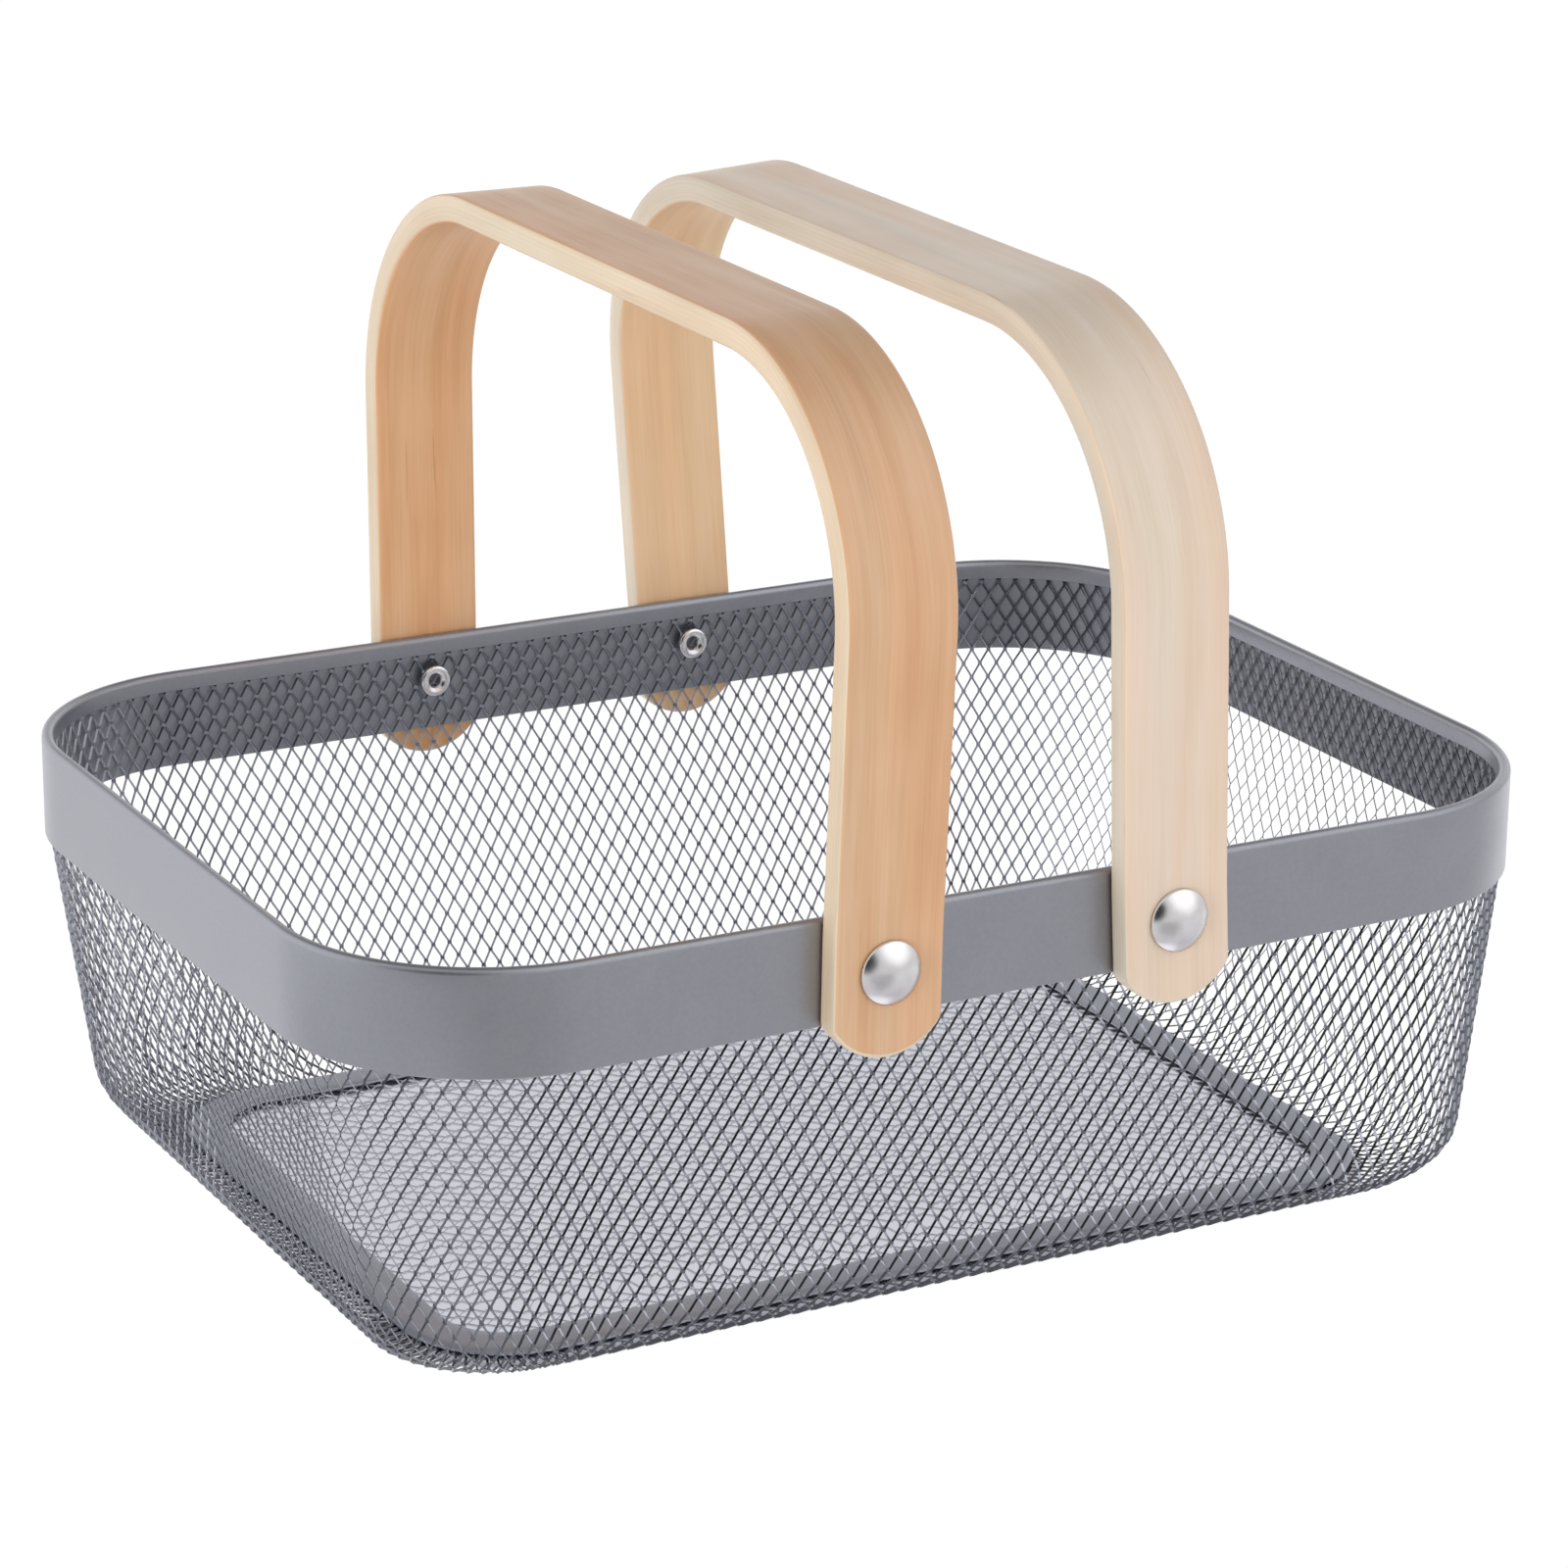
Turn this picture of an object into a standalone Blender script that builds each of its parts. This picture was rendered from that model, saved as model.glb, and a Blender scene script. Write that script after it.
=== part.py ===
"""Wire produce basket: expanded-steel bowl, sheet rim band and two folding bentwood handles."""
import math

import bmesh
import bpy
from mathutils import Vector

# Rim and body, metres
RIM_LENGTH = 0.360
RIM_WIDTH = 0.266
RIM_CORNER_RADIUS = 0.057
BODY_HEIGHT = 0.121
CORNER_STEPS = 9

# Rim band: steel sheet folded inwards over the mesh edge
BAND_HEIGHT = 0.0286
SHEET_THICKNESS = 0.0008
HEM_WIDTH = 0.0034
HEM_LIP = 0.0055
HEM_STEPS = 5

# Expanded-steel mesh, as a plain shell of the mesh's overall thickness
MESH_THICKNESS = 0.0012
END_WALL_LEAN = 0.195
SIDE_WALL_LEAN = 0.145
FLOOR_FILLET = 0.020
FLOOR_CORNER_RADIUS = 0.030
FILLET_STEPS = 6
WALL_STEPS = 3
CLEARANCE = 0.0003

# Flat seam strips above and below the joint of wall and floor mesh
STRIP_WIDTH = 0.012
STRIP_INSET_X = 0.0350
STRIP_INSET_Y = 0.0335
LOWER_STRIP_THICKNESS = 0.0010
UPPER_STRIP_THICKNESS = 0.0008
SEAM_INSET = 0.0396

# Handles: one bent strip each, pivoting on two rivets
PIVOT_X = 0.0424
PIVOT_BELOW_RIM = 0.0136
STRIP_SIDE_GAP = 0.0005
HANDLE_WIDTH = 0.031
HANDLE_THICKNESS = 0.0078
HANDLE_RISE = 0.1545
HANDLE_CORNER_RADIUS = 0.0666
HANDLE_SPLAY = 0.0028
HANDLE_STRAIGHT = 0.008
FOOT_DROP = 0.023
FOOT_END_RADIUS = 0.018
HANDLE_EDGE_RADIUS = 0.0010
BEND_STEPS = 11
LEFT_LEAN = math.radians(0.5)
RIGHT_LEAN = math.radians(-3.4)

# Rivets
HEAD_RADIUS = 0.0085
HEAD_RIM = 0.0006
HEAD_HEIGHT = 0.0040
SHANK_RADIUS = 0.0025
TAIL_RADIUS = 0.0047
TAIL_HEIGHT = 0.0020
TAIL_BORE_RADIUS = 0.0017
TAIL_BORE_DEPTH = 0.0060
DOME_STEPS = 6
RIVET_STEPS = 24

# Derived
HALF_LENGTH = RIM_LENGTH / 2
HALF_WIDTH = RIM_WIDTH / 2
BAND_LOW = BODY_HEIGHT - BAND_HEIGHT
PIVOT_Z = BODY_HEIGHT - PIVOT_BELOW_RIM
SHELL_INSET = SHEET_THICKNESS + CLEARANCE
SHELL_LOW = LOWER_STRIP_THICKNESS + CLEARANCE
FOOT_FACE = HALF_WIDTH + STRIP_SIDE_GAP
HEAD_SEAT = STRIP_SIDE_GAP + HANDLE_THICKNESS + CLEARANCE
TAIL_SEAT = -(SHELL_INSET + MESH_THICKNESS + CLEARANCE)


def clear_scene():
    for item in list(bpy.data.objects):
        bpy.data.objects.remove(item, do_unlink=True)


def new_collection(name):
    collection = bpy.data.collections.new(name)
    bpy.context.scene.collection.children.link(collection)
    return collection


def new_material(name, colour, roughness, metallic):
    material = bpy.data.materials.new(name)
    material.use_nodes = True
    shader = material.node_tree.nodes["Principled BSDF"]
    shader.inputs["Base Color"].default_value = (*colour, 1.0)
    shader.inputs["Roughness"].default_value = roughness
    shader.inputs["Metallic"].default_value = metallic
    material.diffuse_color = (*colour, 1.0)
    return material


def rounded_rectangle(half_length, half_width, radius, steps):
    """Points round a rounded rectangle, anticlockwise from the middle of the +X side's upper end."""
    points = []
    for corner in range(4):
        side_x = 1 if corner in (0, 3) else -1
        side_y = 1 if corner in (0, 1) else -1
        for step in range(steps + 1):
            angle = (corner + step / steps) * math.pi / 2
            x = side_x * (half_length - radius) + radius * math.cos(angle)
            y = side_y * (half_width - radius) + radius * math.sin(angle)
            points.append((x, y))
    return points


def outline_curve(name, outlines):
    """A filled 2D curve with one closed straight-segment spline per outline."""
    curve = bpy.data.curves.new(name, "CURVE")
    curve.dimensions = "2D"
    for outline in outlines:
        spline = curve.splines.new("POLY")
        spline.points.add(len(outline) - 1)
        for point, place in zip(spline.points, outline):
            point.co = (place[0], place[1], 0.0, 1.0)
        spline.use_cyclic_u = True
    return curve


def baked_mesh(item, name):
    """The evaluated shape of an object as a welded mesh with outward normals."""
    bpy.context.view_layer.update()
    graph = bpy.context.evaluated_depsgraph_get()
    mesh = bpy.data.meshes.new_from_object(item.evaluated_get(graph), depsgraph=graph)
    mesh.name = name
    work = bmesh.new()
    work.from_mesh(mesh)
    bmesh.ops.remove_doubles(work, verts=work.verts, dist=0.00001)
    bmesh.ops.recalc_face_normals(work, faces=work.faces)
    work.to_mesh(mesh)
    work.free()
    return mesh


def curve_to_mesh(curve, name):
    holder = bpy.data.objects.new(name + "_curve", curve)
    bpy.context.scene.collection.objects.link(holder)
    mesh = baked_mesh(holder, name)
    bpy.data.objects.remove(holder, do_unlink=True)
    return mesh


def add_object(name, mesh, collection, material=None):
    item = bpy.data.objects.new(name, mesh)
    collection.objects.link(item)
    if material:
        item.data.materials.clear()
        item.data.materials.append(material)
    return item


def flat_plate(name, outlines, low, thickness, collection, material):
    curve = outline_curve(name, outlines)
    curve.fill_mode = "BOTH"
    curve.extrude = thickness / 2
    plate = add_object(name, curve_to_mesh(curve, name), collection, material)
    plate.location = (0.0, 0.0, low + thickness / 2)
    return plate


def add_boolean(item, cutter, operation):
    modifier = item.modifiers.new(cutter.name, "BOOLEAN")
    modifier.solver = "EXACT"
    modifier.operation = operation
    modifier.object = cutter
    return modifier


def cylinder_cutter(name, radius, depth, place, rotation, collection):
    mesh = bpy.data.meshes.new(name)
    work = bmesh.new()
    bmesh.ops.create_cone(
        work, cap_ends=True, cap_tris=False, segments=24, radius1=radius, radius2=radius, depth=depth
    )
    work.to_mesh(mesh)
    work.free()
    cutter = add_object(name, mesh, collection)
    cutter.location = place
    cutter.rotation_euler = rotation
    return cutter


def hide_cutter(cutter):
    cutter.hide_render = True
    cutter.display_type = "WIRE"


def shell_profile():
    """The bowl's outer profile from hem to seam: end inset, side inset, height, corner radius and slope."""
    lean = math.atan((END_WALL_LEAN + SIDE_WALL_LEAN) / 2)
    top_radius = RIM_CORNER_RADIUS - SHELL_INSET
    top = BODY_HEIGHT - SHEET_THICKNESS - 0.0010
    profile = [
        (SHELL_INSET, SHELL_INSET, top, top_radius, 0.0),
        (SHELL_INSET, SHELL_INSET, BAND_LOW, top_radius, lean / 2),
    ]
    wall_low = SHELL_LOW + FLOOR_FILLET * (1 - math.sin(lean))
    for step in range(1, WALL_STEPS + 1):
        drop = (BAND_LOW - wall_low) * step / WALL_STEPS
        radius = top_radius + (FLOOR_CORNER_RADIUS - top_radius) * step / WALL_STEPS
        end_inset = SHELL_INSET + drop * END_WALL_LEAN
        side_inset = SHELL_INSET + drop * SIDE_WALL_LEAN
        profile.append((end_inset, side_inset, BAND_LOW - drop, radius, lean))
    centre_height = SHELL_LOW + FLOOR_FILLET
    for step in range(1, FILLET_STEPS + 1):
        angle = lean + (math.pi / 2 - lean) * step / FILLET_STEPS
        inset = FLOOR_FILLET * (math.cos(lean) - math.cos(angle))
        height = centre_height - FLOOR_FILLET * math.sin(angle)
        profile.append((end_inset + inset, side_inset + inset, height, FLOOR_CORNER_RADIUS, angle))
    profile.append((SEAM_INSET, SEAM_INSET, SHELL_LOW, FLOOR_CORNER_RADIUS, math.pi / 2))
    return profile


def section_points(end_inset, side_inset, height, radius):
    """One level section of the bowl."""
    outline = rounded_rectangle(HALF_LENGTH - end_inset, HALF_WIDTH - side_inset, radius, CORNER_STEPS)
    return [Vector((x, y, height)) for x, y in outline]


def bowl_mesh(name):
    """A loft between unlike rounded rectangles, closed as a shell of even thickness."""
    profile = shell_profile()
    sections = [section_points(end, side, height, radius) for end, side, height, radius, slope in profile]
    for end, side, height, radius, slope in reversed(profile):
        inwards = MESH_THICKNESS * math.cos(slope)
        upwards = MESH_THICKNESS * math.sin(slope)
        if slope == math.pi / 2:
            inwards = 0.0
        if slope == 0.0:
            upwards = 0.0
        sections.append(section_points(end + inwards, side + inwards, height + upwards, radius - inwards))
    work = bmesh.new()
    rings = [[work.verts.new(point) for point in section] for section in sections]
    count = len(rings[0])
    for first, second in zip(rings, rings[1:] + rings[:1]):
        for index in range(count):
            after = (index + 1) % count
            work.faces.new((first[index], first[after], second[after], second[index]))
    bmesh.ops.recalc_face_normals(work, faces=work.faces)
    mesh = bpy.data.meshes.new(name)
    work.to_mesh(mesh)
    work.free()
    return mesh


def hem_outline():
    """The band's section: a tall outer skirt turned over into a short inner lip."""
    outer_radius = HEM_WIDTH / 2
    inner_radius = outer_radius - SHEET_THICKNESS
    bend = -outer_radius
    points = [(0.0, -BAND_HEIGHT)]
    for step in range(HEM_STEPS + 1):
        angle = math.pi - math.pi * step / HEM_STEPS
        points.append((outer_radius + outer_radius * math.cos(angle), bend + outer_radius * math.sin(angle)))
    points.append((HEM_WIDTH, -HEM_LIP))
    points.append((HEM_WIDTH - SHEET_THICKNESS, -HEM_LIP))
    for step in range(HEM_STEPS + 1):
        angle = math.pi * step / HEM_STEPS
        points.append((outer_radius + inner_radius * math.cos(angle), bend + inner_radius * math.sin(angle)))
    points.append((SHEET_THICKNESS, -BAND_HEIGHT))
    return points


def band_mesh(name):
    """The hem section swept round the rim by a curve bevel."""
    section = bpy.data.objects.new("hem_section", outline_curve("hem_section", [hem_outline()]))
    section.data.dimensions = "2D"
    section.data.fill_mode = "NONE"
    bpy.context.scene.collection.objects.link(section)
    outline = rounded_rectangle(HALF_LENGTH, HALF_WIDTH, RIM_CORNER_RADIUS, CORNER_STEPS)
    path = outline_curve(name, [outline])
    path.fill_mode = "NONE"
    path.bevel_mode = "OBJECT"
    path.bevel_object = section
    mesh = curve_to_mesh(path, name)
    bpy.data.objects.remove(section, do_unlink=True)
    return mesh


def handle_half(face, rise, radius, centre_y, centre_z, tangent):
    """One side of the bent strip's face, from foot to the middle of the bend's top."""
    points = [(face, -FOOT_DROP - 0.004), (face, HANDLE_STRAIGHT)]
    for step in range(BEND_STEPS + 1):
        angle = tangent + (math.pi / 2 - tangent) * step / BEND_STEPS
        points.append((centre_y + radius * math.cos(angle), centre_z + radius * math.sin(angle)))
    return points


def handle_outline():
    outer_face = FOOT_FACE + HANDLE_THICKNESS
    centre_y = outer_face + HANDLE_SPLAY - HANDLE_CORNER_RADIUS
    centre_z = HANDLE_RISE - HANDLE_CORNER_RADIUS
    away_y = outer_face - centre_y
    away_z = HANDLE_STRAIGHT - centre_z
    distance = math.hypot(away_y, away_z)
    tangent = math.atan2(away_z, away_y) + math.acos(HANDLE_CORNER_RADIUS / distance)
    inner_radius = HANDLE_CORNER_RADIUS - HANDLE_THICKNESS
    outer = handle_half(outer_face, HANDLE_RISE, HANDLE_CORNER_RADIUS, centre_y, centre_z, tangent)
    inner = handle_half(FOOT_FACE, HANDLE_RISE, inner_radius, centre_y, centre_z, tangent)
    outline = list(outer)
    outline += [(-y, z) for y, z in reversed(outer)]
    outline += [(-y, z) for y, z in inner]
    outline += list(reversed(inner))
    return outline


def foot_shape():
    """The strip's face seen square on: straight sides and a shallow round end at the foot."""
    reach = FOOT_END_RADIUS - 0.001
    limit = math.asin(reach / FOOT_END_RADIUS)
    centre = -FOOT_DROP + FOOT_END_RADIUS
    points = []
    for step in range(13):
        angle = -limit + 2 * limit * step / 12
        points.append((FOOT_END_RADIUS * math.sin(angle), centre - FOOT_END_RADIUS * math.cos(angle)))
    points.append((reach, HANDLE_RISE + 0.02))
    points.append((-reach, HANDLE_RISE + 0.02))
    return points


def handle_mesh(name, cutters):
    """The bent strip with rounded feet, eased edges and pivot holes, about its pivot axis."""
    curve = outline_curve(name, [handle_outline()])
    curve.fill_mode = "BOTH"
    curve.extrude = HANDLE_WIDTH / 2
    blank = add_object(name + "_blank", curve_to_mesh(curve, name + "_blank"), cutters)
    blank.rotation_euler = (math.pi / 2, 0.0, math.pi / 2)
    face = outline_curve(name + "_face", [foot_shape()])
    face.fill_mode = "BOTH"
    face.extrude = RIM_WIDTH
    face_cutter = add_object(name + "_face", curve_to_mesh(face, name + "_face"), cutters)
    face_cutter.rotation_euler = (math.pi / 2, 0.0, 0.0)
    bore = cylinder_cutter(
        name + "_bore", SHANK_RADIUS + CLEARANCE, RIM_WIDTH * 1.4, (0.0, 0.0, 0.0), (math.pi / 2, 0.0, 0.0), cutters
    )
    add_boolean(blank, face_cutter, "INTERSECT")
    edge = blank.modifiers.new("eased_edges", "BEVEL")
    edge.width = HANDLE_EDGE_RADIUS
    edge.segments = 2
    edge.limit_method = "ANGLE"
    edge.angle_limit = math.radians(45)
    add_boolean(blank, bore, "DIFFERENCE")
    for cutter in (blank, face_cutter, bore):
        hide_cutter(cutter)
    mesh = baked_mesh(blank, name)
    turn = blank.rotation_euler.to_matrix().to_4x4()
    mesh.transform(turn)
    return mesh


def add_handle(name, mesh, side, lean, collection, material):
    handle = add_object(name, mesh, collection, material)
    handle.location = (side * PIVOT_X, 0.0, PIVOT_Z)
    handle.rotation_euler = (0.0, lean, 0.0)
    return handle


def rivet_profile():
    """Radius and height along the rivet, from the dome's top to the bottom of the tail's bore."""
    rise = HEAD_HEIGHT - HEAD_RIM
    dome_radius = (HEAD_RADIUS ** 2 + rise ** 2) / (2 * rise)
    limit = math.asin(HEAD_RADIUS / dome_radius)
    centre = HEAD_SEAT + HEAD_HEIGHT - dome_radius
    points = []
    for step in range(DOME_STEPS + 1):
        angle = limit * step / DOME_STEPS
        points.append((dome_radius * math.sin(angle), centre + dome_radius * math.cos(angle)))
    points.append((HEAD_RADIUS - 0.0002, HEAD_SEAT))
    points.append((SHANK_RADIUS, HEAD_SEAT))
    points.append((SHANK_RADIUS, TAIL_SEAT))
    roll = TAIL_HEIGHT / 2
    roll_centre = TAIL_RADIUS - roll
    points.append((roll_centre, TAIL_SEAT))
    for step in range(1, 6):
        angle = math.pi / 2 - math.pi * step / 6
        points.append((roll_centre + roll * math.cos(angle), TAIL_SEAT - roll + roll * math.sin(angle)))
    points.append((roll_centre - 0.0006, TAIL_SEAT - TAIL_HEIGHT))
    points.append((TAIL_BORE_RADIUS + 0.0006, TAIL_SEAT - TAIL_HEIGHT * 0.8))
    points.append((TAIL_BORE_RADIUS, TAIL_SEAT - TAIL_HEIGHT * 0.4))
    points.append((TAIL_BORE_RADIUS, TAIL_SEAT - TAIL_HEIGHT + TAIL_BORE_DEPTH))
    points.append((0.0, TAIL_SEAT - TAIL_HEIGHT + TAIL_BORE_DEPTH + 0.0006))
    return points


def rivet_mesh(name):
    """The profile turned about its axis."""
    profile = rivet_profile()
    line = bpy.data.meshes.new(name + "_profile")
    points = [(radius, 0.0, height) for radius, height in profile]
    line.from_pydata(points, [(index, index + 1) for index in range(len(points) - 1)], [])
    holder = bpy.data.objects.new(name + "_profile", line)
    bpy.context.scene.collection.objects.link(holder)
    screw = holder.modifiers.new("turn", "SCREW")
    screw.axis = "Z"
    screw.angle = math.tau
    screw.steps = RIVET_STEPS
    screw.render_steps = RIVET_STEPS
    screw.use_merge_vertices = True
    screw.merge_threshold = 0.00001
    mesh = baked_mesh(holder, name)
    bpy.data.objects.remove(holder, do_unlink=True)
    return mesh


def add_rivet(name, mesh, side_x, side_y, collection, material):
    rivet = add_object(name, mesh, collection, material)
    rivet.location = (side_x * PIVOT_X, side_y * HALF_WIDTH, PIVOT_Z)
    rivet.rotation_euler = (-side_y * math.pi / 2, 0.0, 0.0)
    return rivet


def build():
    clear_scene()
    parts = new_collection("produce_basket")
    cutters = new_collection("cutters")

    mesh_coat = new_material("mesh_coat", (0.16, 0.17, 0.20), 0.55, 0.3)
    floor_coat = new_material("floor_coat", (0.17, 0.18, 0.21), 0.55, 0.3)
    upper_coat = new_material("upper_strip_coat", (0.18, 0.19, 0.21), 0.5, 0.3)
    lower_coat = new_material("lower_strip_coat", (0.16, 0.17, 0.20), 0.5, 0.3)
    band_coat = new_material("band_coat", (0.22, 0.23, 0.26), 0.42, 0.3)
    warm_wood = new_material("warm_wood", (0.72, 0.47, 0.28), 0.5, 0.0)
    pale_wood = new_material("pale_wood", (0.80, 0.63, 0.46), 0.5, 0.0)

    bore_z = PIVOT_Z
    bores = []
    for side, label in ((-1, "left"), (1, "right")):
        bores.append(
            cylinder_cutter(
                "rivet_bore_" + label,
                SHANK_RADIUS + CLEARANCE,
                RIM_WIDTH * 1.2,
                (side * PIVOT_X, 0.0, bore_z),
                (math.pi / 2, 0.0, 0.0),
                cutters,
            )
        )

    bowl = add_object("mesh_bowl", bowl_mesh("mesh_bowl"), parts, mesh_coat)
    band = add_object("rim_band", band_mesh("rim_band"), parts, band_coat)
    band.location = (0.0, 0.0, BODY_HEIGHT)
    for bore in bores:
        hide_cutter(bore)
        add_boolean(bowl, bore, "DIFFERENCE")
        add_boolean(band, bore, "DIFFERENCE")

    strip_outer = (HALF_LENGTH - STRIP_INSET_X, HALF_WIDTH - STRIP_INSET_Y)
    strip_inner = (strip_outer[0] - STRIP_WIDTH, strip_outer[1] - STRIP_WIDTH)
    strip = [
        rounded_rectangle(*strip_outer, FLOOR_CORNER_RADIUS, CORNER_STEPS),
        rounded_rectangle(*strip_inner, FLOOR_CORNER_RADIUS - STRIP_WIDTH, CORNER_STEPS),
    ]
    flat_plate("base_ring_lower", strip, 0.0, LOWER_STRIP_THICKNESS, parts, lower_coat)
    upper_low = SHELL_LOW + MESH_THICKNESS + CLEARANCE
    flat_plate("base_ring_upper", strip, upper_low, UPPER_STRIP_THICKNESS, parts, upper_coat)

    floor_edge = SEAM_INSET + CLEARANCE
    floor_outline = rounded_rectangle(
        HALF_LENGTH - floor_edge, HALF_WIDTH - floor_edge, FLOOR_CORNER_RADIUS - 2 * CLEARANCE, CORNER_STEPS
    )
    flat_plate("floor_mesh", [floor_outline], SHELL_LOW, MESH_THICKNESS, parts, floor_coat)

    strip_mesh = handle_mesh("handle", cutters)
    add_handle("handle_left", strip_mesh, -1, LEFT_LEAN, parts, warm_wood)
    add_handle("handle_right", strip_mesh.copy(), 1, RIGHT_LEAN, parts, pale_wood)

    for side_x, label_x in ((-1, "left"), (1, "right")):
        for side_y, label_y in ((-1, "front"), (1, "back")):
            name = "rivet_" + label_y + "_" + label_x
            nickel = new_material(name + "_nickel", (0.75, 0.74, 0.72), 0.15, 1.0)
            add_rivet(name, rivet_mesh(name), side_x, side_y, parts, nickel)


build()
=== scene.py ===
import math

import bmesh
import bpy
import numpy as np
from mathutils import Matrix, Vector


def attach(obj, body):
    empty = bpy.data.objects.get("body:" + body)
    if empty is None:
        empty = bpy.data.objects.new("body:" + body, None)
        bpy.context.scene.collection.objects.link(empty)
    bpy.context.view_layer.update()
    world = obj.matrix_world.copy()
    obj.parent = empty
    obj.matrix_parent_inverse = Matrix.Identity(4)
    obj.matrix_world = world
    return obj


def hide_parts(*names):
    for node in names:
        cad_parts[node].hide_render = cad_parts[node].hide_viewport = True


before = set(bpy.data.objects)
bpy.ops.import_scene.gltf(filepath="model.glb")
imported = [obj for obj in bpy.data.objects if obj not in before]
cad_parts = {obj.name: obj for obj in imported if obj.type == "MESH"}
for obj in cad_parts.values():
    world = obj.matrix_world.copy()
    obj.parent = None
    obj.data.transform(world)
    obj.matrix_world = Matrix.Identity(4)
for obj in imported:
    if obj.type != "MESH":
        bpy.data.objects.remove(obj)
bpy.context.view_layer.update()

# Rim and body, metres, as in the CAD
RIM_LENGTH = 0.360
RIM_WIDTH = 0.266
RIM_CORNER_RADIUS = 0.057
BODY_HEIGHT = 0.121
BAND_HEIGHT = 0.0286
SHEET_THICKNESS = 0.0008
HEM_WIDTH = 0.0034
HEM_LIP = 0.0055
SHELL_MIDDLE = 0.0017
END_WALL_LEAN = 0.195
SIDE_WALL_LEAN = 0.145
FLOOR_FILLET = 0.0194
FLOOR_CORNER_RADIUS = 0.030
FLOOR_LEVEL = 0.0019
STRIP_WIDTH = 0.012
STRIP_INSET_X = 0.0350
STRIP_INSET_Y = 0.0335
SEAM_INSET = 0.0400
LIP_WIDTH = 0.0022
CREASE_INSET = 0.0150
CREASE_RADIUS = 0.012
STEP_RISE = 0.0017
STEP_HALF_WIDTH = 0.0012
PIVOT_X = 0.0424
PIVOT_Z = BODY_HEIGHT - 0.0136
HALF_LENGTH = RIM_LENGTH / 2
HALF_WIDTH = RIM_WIDTH / 2
BAND_LOW = BODY_HEIGHT - BAND_HEIGHT
STRIP_X = HALF_LENGTH - STRIP_INSET_X
STRIP_Y = HALF_WIDTH - STRIP_INSET_Y
INNER_X = STRIP_X - STRIP_WIDTH
INNER_Y = STRIP_Y - STRIP_WIDTH

# Expanded metal
COLUMNS = 218
ROW = 0.00433
STRAND_WIDTH = 0.00066
FLOOR_STRAND_WIDTH = 0.00082
STRAND_THICKNESS = 0.00028
STRAND_TILT = math.radians(40)
FLOOR_TILT = math.radians(-48)
BOND_SHARE = 0.22
BESIDE_BOND = 0.47
MESH_TOP_GAP = 0.0019
FIRST_BOND = 0.0006
FLOOR_TUCK = 0.0045
FLOOR_TUCK_RADIUS = 0.022
WALL_PARTS = 4

# Handles
HANDLE_WIDTH = 0.031
HANDLE_THICKNESS = 0.0078
HANDLE_RISE = 0.1545
HANDLE_CORNER_RADIUS = 0.0666
HANDLE_SPLAY = 0.0028
HANDLE_STRAIGHT = 0.008
FOOT_FACE = HALF_WIDTH + 0.0005
FOOT_DROP = 0.023
FOOT_END_RADIUS = 0.018
EDGE_RADIUS = 0.0011
ACROSS_STEPS = 14
ROUND_STEPS = 4
SIDE_STEPS = 3
FOOT_ROUND_RINGS = 5
LEFT_LEAN = math.radians(0.5)
RIGHT_LEAN = math.radians(-3.4)
VENEER_THICKNESS = 0.0013

# Rivets
HOLE_RADIUS = 0.0028
SHANK_RADIUS = 0.0025
BORE_RADIUS = 0.0017
HEAD_RADIUS = 0.0085
HEAD_HEIGHT = 0.0040
HEAD_RIM = 0.0007
TAIL_START = -0.0026
TAIL_RADIUS = 0.0047
TAIL_ROLL = 0.0010
RIVET_SIDES = 64

# Light, and the painted shadow under the basket
SOFT_BOX = 1.3
CEILING = 0.22
PAINTED_SHADOW_UNDER_FLOOR = (0.60, 0.60, 0.66)
PAINTED_SHADOW_UNDER_EDGE = (0.30, 0.30, 0.34)
CLEAR = (1.0, 1.0, 1.0)

scene = bpy.context.scene
scene.view_settings.view_transform = "Standard"
scene.view_settings.look = "None"


# ---------------------------------------------------------------- small helpers
def to_mesh(name, points, faces):
    mesh = bpy.data.meshes.new(name)
    mesh.from_pydata([tuple(p) for p in points], [], [tuple(f) for f in faces])
    mesh.update()
    return mesh


def quad_mesh(name, points, quads):
    """A mesh from arrays of points and quads, set in bulk."""
    mesh = bpy.data.meshes.new(name)
    mesh.vertices.add(len(points))
    mesh.vertices.foreach_set("co", np.asarray(points, np.float32).ravel())
    mesh.loops.add(len(quads) * 4)
    mesh.loops.foreach_set("vertex_index", np.asarray(quads, np.int32).ravel())
    mesh.polygons.add(len(quads))
    mesh.polygons.foreach_set("loop_start", np.arange(0, len(quads) * 4, 4, dtype=np.int32))
    mesh.update(calc_edges=True)
    mesh.validate()
    mesh.shade_flat()
    return mesh


def add_piece(name, mesh, material, body, nodes):
    piece = bpy.data.objects.new(name, mesh)
    scene.collection.objects.link(piece)
    if material is not None:
        mesh.materials.append(material)
    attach(piece, body)
    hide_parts(*nodes)
    return piece


def outward(mesh, smooth_angle):
    """Face normals turned outwards, then smooth shading broken at sharp edges."""
    work = bmesh.new()
    work.from_mesh(mesh)
    bmesh.ops.recalc_face_normals(work, faces=work.faces)
    work.to_mesh(mesh)
    work.free()
    mesh.shade_smooth()
    mesh.set_sharp_from_angle(angle=math.radians(smooth_angle))
    return mesh


def rounded_rectangle(half_length, half_width, radius, steps):
    points = []
    for corner in range(4):
        side_x = 1 if corner in (0, 3) else -1
        side_y = 1 if corner in (0, 1) else -1
        for step in range(steps + 1):
            angle = (corner + step / steps) * math.pi / 2
            x = side_x * (half_length - radius) + radius * math.cos(angle)
            y = side_y * (half_width - radius) + radius * math.sin(angle)
            points.append((x, y, math.cos(angle), math.sin(angle)))
    return points


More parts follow.
